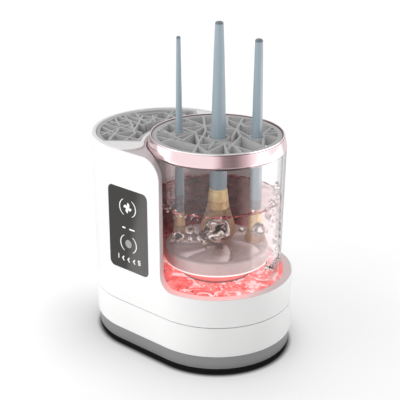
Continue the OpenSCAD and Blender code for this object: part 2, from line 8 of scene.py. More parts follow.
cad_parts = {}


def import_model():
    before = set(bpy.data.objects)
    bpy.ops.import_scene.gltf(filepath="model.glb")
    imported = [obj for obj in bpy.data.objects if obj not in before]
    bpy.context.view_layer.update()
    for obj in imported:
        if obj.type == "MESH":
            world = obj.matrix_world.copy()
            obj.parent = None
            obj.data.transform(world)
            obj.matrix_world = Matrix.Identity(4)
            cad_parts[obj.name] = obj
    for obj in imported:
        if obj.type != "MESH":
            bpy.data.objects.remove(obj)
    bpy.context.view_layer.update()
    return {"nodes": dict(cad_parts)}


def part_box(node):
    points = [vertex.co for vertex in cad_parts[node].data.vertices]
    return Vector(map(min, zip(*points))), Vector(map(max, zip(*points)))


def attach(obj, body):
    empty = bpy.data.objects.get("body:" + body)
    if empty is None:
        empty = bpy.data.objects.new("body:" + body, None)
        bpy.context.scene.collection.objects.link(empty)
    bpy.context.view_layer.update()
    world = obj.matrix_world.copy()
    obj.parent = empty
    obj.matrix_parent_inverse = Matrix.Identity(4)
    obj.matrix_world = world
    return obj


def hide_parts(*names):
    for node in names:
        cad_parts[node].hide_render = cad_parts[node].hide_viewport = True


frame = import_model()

NODES = frame["nodes"]
MM = 0.001


# ---------- places in millimetres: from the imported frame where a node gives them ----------

def low(node):
    """The least corner of a node's box."""
    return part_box(node)[0] / MM


def high(node):
    """The greatest corner of a node's box."""
    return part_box(node)[1] / MM


def plan(node):
    """The middle of a node in the plan."""
    c = (low(node) + high(node)) / 2
    return (c.x, c.y)


def radius(node):
    """The radius of a round, upright node."""
    return (high(node).x - low(node).x) / 2


HALF_L = high("base_cover").x
HALF_W = high("base_cover").y
CUP_X, CUP_Y = plan("disc_screw")
GLASS_LOW = low("cup_glass").z
GLASS_TOP = high("cup_glass").z
GLASS_R = radius("cup_glass")
GLASS_WALL = 2.2
GLASS_FLARE = 1.9
FOOT_R = GLASS_R - GLASS_FLARE
FLOOR_Z = GLASS_LOW + 2.5
INNER_R = GLASS_R - GLASS_WALL
LEDGE_Z = 53
WELL_R = 46.6
LEDGE_R = 51.7
DISC_R = radius("wash_disc")
DISC_TOP = high("wash_disc").z
DISC_LOW = low("wash_disc").z
RING_LIP_R = 44.3
PETALS = 7
PETAL_RIM = DISC_R - 2.2
PETAL_SWIRL = 0.55
PETAL_BEND = 1.2
WATER_Z = 104.8
WATER_R = INNER_R - 0.2
VIEW_TURN = math.radians(41.4)


def cup_point(turn, r, z):
    """A point about the cup's axis. A turn of 0 faces the front, 90 degrees the cup's end."""
    t = math.radians(turn)
    return Vector((CUP_X + r * math.sin(t), CUP_Y - r * math.cos(t), z))


# ---------- mesh helpers (all sizes in millimetres) ----------

def link(name, mesh):
    """A new object in the scene."""
    piece = bpy.data.objects.new(name, mesh)
    bpy.context.scene.collection.objects.link(piece)
    return piece


def mesh_object(name, verts, faces, sharp=None):
    """A mesh object from millimetre points. Edges that bend more than sharp degrees stay sharp."""
    mesh = bpy.data.meshes.new(name)
    mesh.from_pydata([Vector(v) * MM for v in verts], [], faces)
    work = bmesh.new()
    work.from_mesh(mesh)
    bmesh.ops.remove_doubles(work, verts=work.verts, dist=1e-7)
    bmesh.ops.recalc_face_normals(work, faces=work.faces)
    for face in work.faces:
        face.smooth = True
    for edge in work.edges:
        if sharp is not None and len(edge.link_faces) == 2:
            edge.smooth = edge.calc_face_angle(0) < math.radians(sharp)
    work.to_mesh(mesh)
    work.free()
    return link(name, mesh)


def skin(rows, segments, base=0, ring=False):
    """Faces of a skin that goes once round. It has segments columns of points, each rows high, and the first
    is at point base. ring joins the last point of each column to its first."""
    faces = []
    for i in range(segments):
        a = base + i * rows
        b = base + (i + 1) % segments * rows
        for j in range(rows if ring else rows - 1):
            k = (j + 1) % rows
            faces.append((a + j, b + j, b + k, a + k))
    return faces


def round_sheet(rings, segments):
    """Faces of a round sheet of points: its middle first, then ring after ring outwards."""
    faces = []
    for i in range(segments):
        k = (i + 1) % segments
        faces.append((0, 1 + i, 1 + k))
        for j in range(rings - 1):
            a = 1 + j * segments
            b = a + segments
            faces.append((a + i, b + i, b + k, a + k))
    return faces


def lathe(name, profile, at, segments=160, ring=True, sharp=40):
    """Turns [radius, height] points about the upright axis through at.
    ring joins the last point to the first."""
    verts = []
    for i in range(segments):
        turn = math.tau * i / segments
        for r, z in profile:
            verts.append((at[0] + r * math.cos(turn), at[1] + r * math.sin(turn), z))
    return mesh_object(name, verts, skin(len(profile), segments, ring=ring), sharp)


def arc(cx, cz, r, start, end, steps=6):
    """Points of an arc in the [radius, height] plane, from start to end degrees."""
    turns = [math.radians(start + (end - start) * i / steps) for i in range(steps + 1)]
    return [(cx + r * math.cos(t), cz + r * math.sin(t)) for t in turns]


def smoothstep(t):
    """Eases from 0 to 1."""
    t = min(max(t, 0.0), 1.0)
    return t * t * (3 - 2 * t)


def outline(points, z):
    """The radius at height z on [radius, height] points that run upwards, eased between them."""
    for (r0, z0), (r1, z1) in zip(points, points[1:]):
        if z <= z1:
            share = (z - z0) / (z1 - z0)
            return r0 + (r1 - r0) * (0.5 * smoothstep(share) + 0.5 * max(0, share))
    return points[-1][0]


def edge_bevel(piece, width, segments=3, angle=35):
    """Rounds a CAD node's edges for the eye: its faces are welded, bevelled and shaded smooth."""
    weld = piece.modifiers.new("weld", "WELD")
    weld.merge_threshold = 0.00002
    bevel = piece.modifiers.new("bevel", "BEVEL")
    bevel.width = width * MM
    bevel.segments = segments
    bevel.limit_method = "ANGLE"
    bevel.angle_limit = math.radians(angle)
    piece.modifiers.new("normals", "WEIGHTED_NORMAL").keep_sharp = True


def place(piece, body, slot, material, *replaced):
    """Gives a new piece its material and body, and hides the CAD nodes that it stands for. slot is not used.
    """
    piece.data.materials.append(material)
    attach(piece, body)
    if replaced:
        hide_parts(*replaced)
    return piece


# ---------- materials ----------

class Shader:
    """A node material with a Principled shader and short ways to add patterns to it. Keywords are the names
    of the shader's own sockets, with a line for each space."""

    def __init__(self, name, **sockets):
        self.material = bpy.data.materials.new(name)
        self.material.use_nodes = True
        self.tree = self.material.node_tree
        self.shader = self.tree.nodes["Principled BSDF"]
        self.coords = self.add("ShaderNodeTexCoord").outputs["Object"]
        for socket, value in sockets.items():
            self.shader.inputs[socket.replace("_", " ")].default_value = value

    def add(self, kind, **inputs):
        """A new node with numbers set on its inputs."""
        node = self.tree.nodes.new(kind)
        for socket, value in inputs.items():
            node.inputs[socket.replace("_", " ")].default_value = value
        return node

    def join(self, source, target):
        self.tree.links.new(source, target)

    def math(self, operation, first, second=0.0):
        """One sum of two numbers or outputs."""
        node = self.add("ShaderNodeMath")
        node.operation = operation
        for socket, value in zip(node.inputs, (first, second)):
            if isinstance(value, (int, float)):
                socket.default_value = value
            else:
                self.join(value, socket)
        return node.outputs[0]

    def placed(self, scale):
        """Coordinates stretched by scale."""
        mapping = self.add("ShaderNodeMapping", Scale=scale)
        self.join(self.coords, mapping.inputs["Vector"])
        return mapping.outputs["Vector"]

    def about_cup(self, turn=0.0):
        """Coordinates from the cup's axis, on axes that are turned about it."""
        mapping = self.add("ShaderNodeMapping", Location=(CUP_X * MM, CUP_Y * MM, 0), Rotation=(0, 0, turn))
        mapping.vector_type = "TEXTURE"
        self.join(self.coords, mapping.inputs["Vector"])
        return mapping.outputs["Vector"]

    def around_cup(self, turn=0.0):
        """The share of a full turn about the cup's axis."""
        node = self.add("ShaderNodeTexGradient")
        node.gradient_type = "RADIAL"
        self.join(self.about_cup(turn), node.inputs["Vector"])
        return node.outputs["Fac"]

    def reach(self):
        """The distance from the cup's axis."""
        flat = self.add("ShaderNodeVectorMath")
        flat.operation = "MULTIPLY"
        flat.inputs[1].default_value = (1, 1, 0)
        self.join(self.about_cup(), flat.inputs[0])
        length = self.add("ShaderNodeVectorMath")
        length.operation = "LENGTH"
        self.join(flat.outputs[0], length.inputs[0])
        return length.outputs["Value"]

    def axis(self, name, vector=None):
        """One coordinate, X, Y or Z."""
        node = self.add("ShaderNodeSeparateXYZ")
        self.join(vector or self.coords, node.inputs[0])
        return node.outputs[name]

    def cloud(self, scale, detail=3.0, rough=0.55, vector=None, distort=0.0):
        """Soft noise from 0 to 1."""
        node = self.add("ShaderNodeTexNoise", Scale=scale, Detail=detail, Roughness=rough, Distortion=distort)
        self.join(vector or self.coords, node.inputs["Vector"])
        return node.outputs["Fac"]

    def between(self, value, start, end, low=0.0, high=1.0):
        """Eases from low to high as value goes from start to end."""
        node = self.add("ShaderNodeMapRange")
        node.interpolation_type = "SMOOTHSTEP"
        for socket, number in (("From Min", start), ("From Max", end), ("To Min", low), ("To Max", high)):
            node.inputs[socket].default_value = number
        self.join(value, node.inputs["Value"])
        return node.outputs["Result"]

    def between_mm(self, value, start, end, low=0.0, high=1.0):
        """Like between, with start and end in millimetres."""
        return self.between(value, start * MM, end * MM, low, high)

    def wavering(self, length, scale, amount):
        """A length with noise of up to amount millimetres added."""
        return self.math("ADD", length, self.math("MULTIPLY", self.cloud(scale, 4), amount * MM))

    def all_of(self, *shares):
        """The product of several shares."""
        result = shares[0]
        for share in shares[1:]:
            result = self.math("MULTIPLY", result, share)
        return result

    def ramp(self, fac, *stops):
        """Colours by place: stops are (position, colour)."""
        node = self.add("ShaderNodeValToRGB")
        elements = node.color_ramp.elements
        while len(elements) < len(stops):
            elements.new(0.5)
        for element, (position, colour) in zip(elements, stops):
            element.position = position
            element.color = (*colour, 1)
        self.join(fac, node.inputs["Fac"])
        return node.outputs["Color"]

    def mix(self, fac, first, second):
        """Goes from the first colour to the second with fac."""
        node = self.tree.nodes.new("ShaderNodeMix")
        node.data_type = "RGBA"
        for socket, value in ((node.inputs[0], fac), (node.inputs[6], first), (node.inputs[7], second)):
            if isinstance(value, tuple):
                socket.default_value = (*value, 1)
            elif isinstance(value, (int, float)):
                socket.default_value = value
            else:
                self.join(value, socket)
        return node.outputs[2]

    def bump(self, fac, strength, distance=0.0002):
        """Raises the surface where fac is high."""
        node = self.add("ShaderNodeBump", Strength=strength, Distance=distance)
        self.join(fac, node.inputs["Height"])
        self.join(node.outputs["Normal"], self.shader.inputs["Normal"])
        return node.outputs["Normal"]

    def see_through(self, tint, edge, mirror=0.04, normal=None):
        """Clear plastic or water that doesn't bend what is behind it.
        It takes the tint straight on and the edge colour at a glancing view."""
        facing = self.add("ShaderNodeLayerWeight", Blend=0.5)
        steep = facing.outputs["Facing"]
        clear = self.add("ShaderNodeBsdfTransparent")
        self.join(self.mix(self.math("POWER", steep, 3.0), tint, edge), clear.inputs["Color"])
        gloss = self.add("ShaderNodeBsdfAnisotropic", Roughness=0.02)
        if normal:
            self.join(normal, gloss.inputs["Normal"])
        fac = self.math("MULTIPLY", self.math("POWER", steep, 5.0), 1 - mirror)
        blend = self.add("ShaderNodeMixShader")
        self.join(self.math("ADD", fac, mirror), blend.inputs[0])
        self.join(clear.outputs[0], blend.inputs[1])
        self.join(gloss.outputs[0], blend.inputs[2])
        self.join(blend.outputs[0], self.tree.nodes["Material Output"].inputs["Surface"])
        return self.material


def shade(colour, amount):
    """A colour made lighter or darker."""
    return tuple(min(1.0, c * amount) for c in colour)


def moulded(name, colour, rough=0.4, vary=0.02, grain=0.05, grain_scale=1800, **sockets):
    """Moulded plastic or rubber: a faint drift of colour, patchy gloss and a fine grain."""
    s = Shader(name, **sockets)
    drift = s.ramp(s.cloud(28), (0.3, shade(colour, 1 - vary)), (0.7, shade(colour, 1 + vary)))
    s.join(drift, s.shader.inputs["Base Color"])
    s.join(s.between(s.cloud(60, 5), 0.3, 0.7, rough * 0.88, rough * 1.12), s.shader.inputs["Roughness"])
    if grain:
        s.bump(s.cloud(grain_scale, 2), grain)
    return s.material


def metal(name, colour, rough):
    """Turned or brushed metal: fine lines along one way."""
    s = Shader(name, Metallic=1.0)
    lines = s.cloud(1, 4, 0.6, s.placed((40, 40, 6000)))
    tone = s.ramp(lines, (0.3, shade(colour, 0.88)), (0.7, shade(colour, 1.06)))
    s.join(tone, s.shader.inputs["Base Color"])
    s.join(s.between(lines, 0.3, 0.7, rough * 0.8, rough * 1.25), s.shader.inputs["Roughness"])
    s.bump(lines, 0.06, 0.00003)
    return s.material


def glowing(name, colour, glow, strength):
    """A lit diffuser: its glow drifts between a deep and a pale tone."""
    s = Shader(name, Emission_Strength=strength)
    drift = s.cloud(55, 6, 0.6)
    s.join(s.ramp(drift, (0.3, shade(colour, 0.9)), (0.7, colour)), s.shader.inputs["Base Color"])
    s.join(s.ramp(drift, (0.45, glow), (0.75, shade(glow, 1.3))), s.shader.inputs["Emission Color"])
    s.join(s.between(s.cloud(90), 0.3, 0.7, 0.25, 0.4), s.shader.inputs["Roughness"])
    return s.material


def end_shade(s, white):
    """The round end under the cup gets a little less light where it faces the front."""
    view = s.about_cup(VIEW_TURN)
    across = s.axis("X", view)
    facing = s.all_of(s.between_mm(across, -42, 4), s.between_mm(across, 56, 26),
                      s.between_mm(s.axis("Y", view), 30, 0))
    less = s.all_of(facing, s.between_mm(s.axis("Z"), LEDGE_Z + 3, LEDGE_Z + 1, 0.0, 0.15))
    return s.mix(less, white, (0.0, 0.0, 0.0))


def housing_white():
    """The white shell. Round the cup's well its ledge has a painted pink glow and painted shade for the light
    ring's light from inside, and the well's wall a painted red glow.
    """
    s = Shader("housing_white", Coat_Weight=0.05, Coat_Roughness=0.1, Emission_Strength=1.0)
    reach = s.wavering(s.reach(), 60, 1.2)
    z = s.axis("Z")
    across = s.axis("X", s.about_cup(VIEW_TURN))
    above = s.between_mm(z, LEDGE_Z - 0.8, LEDGE_Z - 0.1)
    below = s.between_mm(z, LEDGE_Z + 7, LEDGE_Z + 1.5)
    on_ledge = s.all_of(above, below, s.between_mm(reach, LEDGE_R + 0.2, LEDGE_R))
    rim = s.all_of(on_ledge, s.between_mm(reach, LEDGE_R - 0.4, LEDGE_R - 0.1))
    painted_well_glow = s.all_of(s.between_mm(z, LEDGE_Z + 5, LEDGE_Z - 1), s.between_mm(reach, WELL_R, WELL_R - 0.5))
    # the tower's face beside the cup, and its neck under the holder, which get less light
    beside = s.all_of(s.between_mm(z, LEDGE_Z + 7, LEDGE_Z + 13), s.between_mm(reach, 53.2, 51.2))
    neck = s.all_of(s.between_mm(z, 112, 136), s.between_mm(z, 149.5, 147.8), s.between_mm(reach, 68, 64),
                    s.between_mm(s.math("ABSOLUTE", s.axis("Y")), HALF_W + 1, HALF_W))
    white = s.ramp(s.cloud(28), (0.3, (0.865, 0.865, 0.862)), (0.7, (0.885, 0.885, 0.88)))
    walls = s.mix(neck, s.mix(beside, white, (0.76, 0.685, 0.69)), (0.50, 0.455, 0.46))
    # painted shade: the ledge's top is a darker pink, and its outer rim a darker line
    ledge = s.mix(rim, s.mix(on_ledge, end_shade(s, walls), (0.76, 0.62, 0.62)), (0.50, 0.46, 0.47))
    s.join(ledge, s.shader.inputs["Base Color"])
    # painted light: the ledge and the well's wall glow red, though the shell is no lamp
    ledge_glow = s.mix(s.all_of(on_ledge, s.between_mm(across, 34, 8)), (0, 0, 0), (0.36, 0.06, 0.055))
    s.join(s.mix(painted_well_glow, ledge_glow, (0.55, 0.07, 0.065)), s.shader.inputs["Emission Color"])
    s.join(s.between(s.cloud(60, 5), 0.3, 0.7, 0.33, 0.37), s.shader.inputs["Roughness"])
    s.bump(s.cloud(1800, 2), 0.03)
    return s.material


def shell_white():
    """The lower shell, in the same white, with the painted shade of end_shade at its round end."""
    s = Shader("shell_white", Coat_Weight=0.05, Coat_Roughness=0.1)
    white = s.ramp(s.cloud(28), (0.3, (0.87, 0.87, 0.865)), (0.7, (0.88, 0.88, 0.875)))
    s.join(end_shade(s, white), s.shader.inputs["Base Color"])
    s.join(s.between(s.cloud(60, 5), 0.3, 0.7, 0.30, 0.38), s.shader.inputs["Roughness"])
    s.bump(s.cloud(1800, 2), 0.03)
    return s.material


SHELL = shell_white()
# The tray's white is darker than the shell's: painted shade on the top faces.
TRAY_SHADED = moulded("tray_white", (0.72, 0.72, 0.715), 0.38, 0.01, 0.04)
BAND = moulded("band_gray", (0.25, 0.25, 0.252), 0.42, 0.03, 0.06)
SOLE = moulded("sole_rubber", (0.012, 0.012, 0.012), 0.8, 0.1, 0.2, Specular_IOR_Level=0.2)
PANEL = moulded("panel_glass", (0.032, 0.0315, 0.029), 0.025, 0.03, 0.0)
PRINT = moulded("panel_print", (0.85, 0.85, 0.85), 0.5, 0.01, 0.02,
                Emission_Color=(1, 1, 1, 1), Emission_Strength=0.1)
PAD = moulded("pad_print", (0.30, 0.30, 0.30), 0.5, 0.25, 0.05, 900)
NYLON = moulded("nylon_white", (0.72, 0.72, 0.7), 0.45)
BOARD = moulded("board_green", (0.02, 0.13, 0.05), 0.35, 0.08)
CHIP = moulded("chip_black", (0.02, 0.02, 0.02), 0.5, 0.1)
FAN = moulded("fan_black", (0.03, 0.03, 0.032), 0.45, 0.05)
STEEL = metal("steel_plain", (0.62, 0.62, 0.64), 0.28)
BRASS = metal("bush_brass", (0.75, 0.55, 0.2), 0.25)
ALLOY = metal("heater_alloy", (0.6, 0.61, 0.62), 0.35)
LED = glowing("led_red", (0.9, 0.2, 0.18), (1.0, 0.12, 0.1), 4.0)
DIFFUSER = glowing("light_diffuser", (0.95, 0.45, 0.42), (1.0, 0.16, 0.15), 2.0)


def frosted(s):
    """The disc's frosted white."""
    return s.ramp(s.cloud(60, 4), (0.3, (0.80, 0.72, 0.71)), (0.7, (0.84, 0.77, 0.76)))


def disc_white():
    """Frosted white, with the red light from below caught in a thin line round its lower edge."""
    s = Shader("disc_white", Emission_Strength=0.9)
    s.join(frosted(s), s.shader.inputs["Base Color"])
    s.join(s.between(s.cloud(90, 4), 0.3, 0.7, 0.24, 0.34), s.shader.inputs["Roughness"])
    edge = s.between_mm(s.axis("Z"), DISC_LOW + 1.15, DISC_LOW + 0.75)
    s.join(s.mix(edge, (0, 0, 0), (0.95, 0.88, 0.88)), s.shader.inputs["Emission Color"])
    s.bump(s.cloud(500, 2), 0.02)
    return s.material


def hub_lit():
    """The hub under the disc, lit coral by the light below it and darker at its foot."""
    s = Shader("hub_lit", Emission_Strength=0.62, Roughness=0.4)
    # painted glow of the light below, and painted shade at the hub's foot
    foot = s.between_mm(s.axis("Z"), FLOOR_Z + 0.6, FLOOR_Z + 2.4)
    drift = s.ramp(s.cloud(120, 4), (0.3, (0.95, 0.20, 0.19)), (0.7, (1.0, 0.27, 0.26)))
    s.join(s.mix(foot, (0.10, 0.02, 0.02), drift), s.shader.inputs["Emission Color"])
    s.join(s.mix(foot, (0.10, 0.03, 0.03), (0.52, 0.20, 0.19)), s.shader.inputs["Base Color"])
    return s.material


def silicone(node):
    """Soft gray silicone, with painted shade on the ribs' tops and a faint painted light glowing from the
    cells' walls below them.
    """
    s = Shader(f"silicone_{node}", Roughness=0.6, Specular_IOR_Level=0.25, Emission_Strength=1.0)
    top = high(node).z
    z = s.axis("Z")
    on_top = s.between_mm(z, top - 0.35, top - 0.15)
    upper = s.between_mm(z, top - 7.0, top - 0.5)
    drift = s.cloud(28)
    wall = s.ramp(drift, (0.3, (0.40, 0.40, 0.40)), (0.7, (0.44, 0.44, 0.442)))
    # painted shade: the ribs' tops are a little darker than the walls
    painted_cap_shade = s.ramp(drift, (0.3, (0.375, 0.375, 0.376)), (0.7, (0.405, 0.405, 0.407)))
    s.join(s.mix(on_top, wall, painted_cap_shade), s.shader.inputs["Base Color"])
    # painted light: the cells' walls glow faintly within 7 mm of the tops
    painted_wall_light = s.all_of(upper, s.between(on_top, 1.0, 0.0))
    s.join(s.mix(painted_wall_light, (0, 0, 0), (0.060, 0.060, 0.061)), s.shader.inputs["Emission Color"])
    s.bump(s.cloud(1800, 2), 0.08)
    return s.material


def petal_white():
    """The petals' white, with a painted highlight up to each crest and painted shade where the petal falls
    away.
    """
    s = Shader("petal_white", Emission_Strength=1.0)
    out = s.math("DIVIDE", s.reach(), PETAL_RIM * MM)
    swirl = s.math("MULTIPLY", s.math("POWER", out, PETAL_BEND), PETAL_SWIRL / math.tau)
    turns = s.math("ADD", s.math("SUBTRACT", s.around_cup(), 0.5), swirl)
    # the share of the way across a petal, kept above 0 for the fraction
    share = s.math("FRACT", s.math("ADD", s.math("MULTIPLY", turns, PETALS), 10.0))
    within = s.all_of(s.between(out, 0.18, 0.5), s.between(out, 1.0, 0.92))
    # painted highlight on the rising face up to each crest, and painted shade on the steep face after it
    crest_highlight = s.all_of(s.between(share, 0.52, 0.80), s.between(share, 0.895, 0.865), within)
    fall_shade = s.all_of(s.between(share, 0.865, 0.895), s.between(share, 1.0, 0.94), within)
    s.join(s.mix(fall_shade, frosted(s), (0.52, 0.46, 0.455)), s.shader.inputs["Base Color"])
    s.join(s.mix(crest_highlight, (0, 0, 0), (0.20, 0.185, 0.18)), s.shader.inputs["Emission Color"])
    s.join(s.between(s.cloud(90, 4), 0.3, 0.7, 0.24, 0.34), s.shader.inputs["Roughness"])
    s.bump(s.cloud(500, 2), 0.02)
    return s.material


DISC = disc_white()

CAD_LOOKS = {
    "rubber_sole": (SOLE, 0.3), "base_cover": (BAND, 0.5), "lower_housing": (SHELL, 0.25),
    "upper_housing": (housing_white(), 0.22), "housing_screws": (STEEL, 0.2), "tray_frame": (TRAY_SHADED, 0.25),
    "drying_bin": (TRAY_SHADED, 0.2), "touch_panel": (PANEL, 0.25), "panel_icons": (PRINT, 0),
    "power_pad": (PAD, 0), "control_board": (BOARD, 0), "control_chips": (CHIP, 0.1),
    "touch_springs": (STEEL, 0), "light_ring": (DIFFUSER, 0.2), "led_board": (NYLON, 0),
    "led_chips": (LED, 0.1), "motor": (STEEL, 0.3), "motor_bracket": (CHIP, 0.2),
    "motor_screws": (STEEL, 0), "power_board": (BOARD, 0), "power_parts": (CHIP, 0.2),
    "usb_inlet": (STEEL, 0.05), "inlet_board": (BOARD, 0), "fan_frame": (FAN, 0.2),
    "fan_pin": (STEEL, 0), "heater_frame": (NYLON, 0.2), "heater_fins": (ALLOY, 0),
    "fan_rotor": (FAN, 0.1), "drive_shaft": (STEEL, 0), "drive_dog": (NYLON, 0.15),
    "cup_base": (NYLON, 0.2), "cup_bush": (BRASS, 0), "cup_seal": (SOLE, 0.05),
    "spindle": (STEEL, 0), "driven_dog": (NYLON, 0.15), "disc_screw": (STEEL, 0.1),
    "disc_hub": (hub_lit(), 0.2), "wash_disc": (DISC, 0.15),
    "holder_lattice": (silicone("holder_lattice"), 0.22),
    "drying_lattice": (silicone("drying_lattice"), 0.22),
}


def dress_cad():
    """Gives the CAD nodes that stay in view their material and rounded edges."""
    for node, (material, width) in CAD_LOOKS.items():
        piece = NODES[node]
        for slot in piece.material_slots:
            slot.material = material
        if width:
            edge_bevel(piece, width)


# ---------- the cup and its water ----------

def cup_glass():
    """The clear cup, with rounded edges and a hole in its floor for the bush."""
    hole_r = 9.0
    profile = [(hole_r, GLASS_LOW)]
    profile += arc(FOOT_R - 1.5, GLASS_LOW + 1.5, 1.5, -90, 0)
    profile += arc(GLASS_R - 0.9, GLASS_TOP - 0.9, 0.9, 0, 90)
    profile += arc(INNER_R + 0.7, GLASS_TOP - 0.7, 0.7, 90, 180)
    profile += arc(FOOT_R - GLASS_WALL - 2.5, FLOOR_Z + 2.5, 2.5, 0, -90)
    profile += [(hole_r, FLOOR_Z)]
    piece = lathe("clear_cup", profile, plan("cup_glass"), 192, sharp=60)
    s = Shader("cup_clear")
    tint = s.ramp(s.cloud(15), (0.3, (0.985, 0.985, 0.985)), (0.7, (0.995, 0.995, 0.995)))
    place(piece, "cup", "clear_cup", s.see_through(tint, (0.80, 0.80, 0.805)), "cup_glass")


def wave(x, y):
    """Height of the moving water at a place measured from the cup's axis."""
    r = math.hypot(x, y)
    turn = math.atan2(x, -y)
    slosh = 1.5 * math.cos(turn - VIEW_TURN) * r / INNER_R
    ripple = noise.noise(Vector((x * 0.09, y * 0.09, 3.1))) * 1.1
    fine = noise.noise(Vector((x * 0.3, y * 0.3, 7.7))) * 0.35
    lip = 0.9 * smoothstep((r - INNER_R + 2.2) / 2.2)
    return WATER_Z + slosh + ripple + fine + lip


def water_side():
    """The water's side, against the glass. Its far side holds murk darkened with painted shade, and turns
    pale towards the cup's end.
    """
    foot_r = INNER_R - 1.2
    foot_z = FLOOR_Z + 0.4
    segments = 144
    rows = 9
    verts = []
    for i in range(segments):
        turn = math.tau * i / segments
        cos, sin = math.cos(turn), math.sin(turn)
        edge = wave(WATER_R * cos, WATER_R * sin)
        for j in range(rows):
            share = j / (rows - 1)
            r = foot_r + (WATER_R - foot_r) * share
            verts.append((CUP_X + r * cos, CUP_Y + r * sin, foot_z + (edge - foot_z) * share))
    side = mesh_object("water_side", verts, skin(rows, segments))
    s = Shader("water_side")
    view = s.about_cup(VIEW_TURN)
    across = s.wavering(s.axis("X", view), 90, 10)
    murk_and_shade = s.ramp(s.cloud(46, 5, 0.6, distort=0.8),
                   (0.3, (0.40, 0.15, 0.145)), (0.5, (0.47, 0.265, 0.26)), (0.7, (0.62, 0.45, 0.445)))
    speck = s.cloud(300, 3, 0.6)
    murk_and_shade = s.mix(s.between(speck, 0.54, 0.62), murk_and_shade, (0.74, 0.30, 0.295))
    murk_and_shade = s.mix(s.between(speck, 0.44, 0.38), murk_and_shade, (0.15, 0.09, 0.09))
    # murk and painted shade, up to a fixed line across the cup; beyond it the far side is pale
    far = s.mix(s.between_mm(across, 19, 26), murk_and_shade, (0.97, 0.87, 0.875))
    front = s.ramp(s.cloud(26, 4, 0.6), (0.3, (0.92, 0.84, 0.84)), (0.7, (0.96, 0.91, 0.91)))
    tint = s.mix(s.between_mm(s.axis("Y", view), -2, 2), front, far)
    place(side, "cup", "clear_cup", s.see_through(tint, (0.84, 0.74, 0.745), 0.01))


def water_surface():
    """The water's moving surface. Towards the tower it holds murk darkened with painted shade, and it is pale
    pink towards the cup's end.
    """
    segments = 144
    rings = 26
    verts = [(CUP_X, CUP_Y, wave(0, 0))]
    for j in range(1, rings + 1):
        r = WATER_R * j / rings
        for i in range(segments):
            turn = math.tau * i / segments
            x, y = r * math.cos(turn), r * math.sin(turn)
            verts.append((CUP_X + x, CUP_Y + y, wave(x, y)))
    sheet = mesh_object("water_surface", verts, round_sheet(rings, segments))
    s = Shader("water_surface")
    across = s.wavering(s.axis("X", s.about_cup(VIEW_TURN)), 120, 12)
    dark = s.ramp(s.cloud(300, 5, 0.65),
                  (0.36, (0.66, 0.42, 0.42)), (0.45, (0.90, 0.83, 0.835)), (0.7, (0.96, 0.91, 0.915)))
    pale = s.ramp(s.cloud(160, 5, 0.6), (0.35, (0.98, 0.86, 0.87)), (0.6, (0.93, 0.72, 0.73)))
    # murk and painted shade towards the tower, up to a fixed line across the cup
    tint = s.mix(s.between_mm(across, 20, 26), dark, pale)
    normal = s.bump(s.cloud(260, 4, 0.6), 0.5, 0.0006)
    place(sheet, "cup", "clear_cup", s.see_through(tint, (0.62, 0.50, 0.51), 0.03, normal))


def shore():
    """The thin line where the water climbs the glass, in painted light and shade: red from the light below,
    pale highlights and almost black shade.
    """
    segments = 260
    sides = 6
    rim = INNER_R - 0.12
    verts = []
    for i in range(segments):
        turn = math.tau * i / segments
        cos, sin = math.cos(turn), math.sin(turn)
        z = wave(rim * cos, rim * sin)
        heavy = 0.55 + 1.3 * max(0.0, noise.noise(Vector((cos * 7, sin * 7, 1.3))))
        drop = noise.noise(Vector((cos * 9, sin * 9, 4.2))) * 0.6
        for j in range(sides):
            t = math.tau * j / sides
            r = rim - heavy * 0.8 - heavy * 0.8 * math.cos(t)
            verts.append((CUP_X + r * cos, CUP_Y + r * sin, z + drop + heavy * math.sin(t)))
    piece = mesh_object("water_shore", verts, skin(sides, segments, ring=True))
    s = Shader("water_shore", Roughness=0.12)
    # painted light and shade along the waterline
    patch = s.cloud(170, 4, 0.7)
    red = s.ramp(patch, (0.40, (0.10, 0.03, 0.04)), (0.47, (0.50, 0.08, 0.08)), (0.54, (0.62, 0.20, 0.20)),
                 (0.62, (0.80, 0.60, 0.60)))
    s.join(red, s.shader.inputs["Base Color"])
    s.join(s.between(s.cloud(230, 3), 0.42, 0.52, 0.1, 0.8), s.shader.inputs["Alpha"])
    place(piece, "cup", "clear_cup", s.material)


def blob(name, at, size, seed, rough=0.16, detail=1.5, squash=(1, 1, 1)):
    """A wobbly bubble or drop: a fine ball pushed in and out by noise."""
    work = bmesh.new()
    bmesh.ops.create_icosphere(work, subdivisions=4, radius=1)
    shift = Vector((seed * 7.3, seed * 3.1, seed * 5.7))
    for vert in work.verts:
        way = vert.co.normalized()
        broad = noise.noise(way * detail + shift)
        fine = noise.noise(way * detail * 3 + shift)
        co = way * (1 + rough * broad + rough * 0.35 * fine) * size
        vert.co = (Vector((co.x * squash[0], co.y * squash[1], co.z * squash[2])) + at) * MM
    for face in work.faces:
        face.smooth = True
    mesh = bpy.data.meshes.new(name)
    work.to_mesh(mesh)
    work.free()
    return link(name, mesh)


def joined(name, pieces):
    """One object from several, keeping every face."""
    work = bmesh.new()
    for piece in pieces:
        work.from_mesh(piece.data)
        bpy.data.objects.remove(piece)
    mesh = bpy.data.meshes.new(name)
    work.to_mesh(mesh)
    work.free()
    return link(name, mesh)


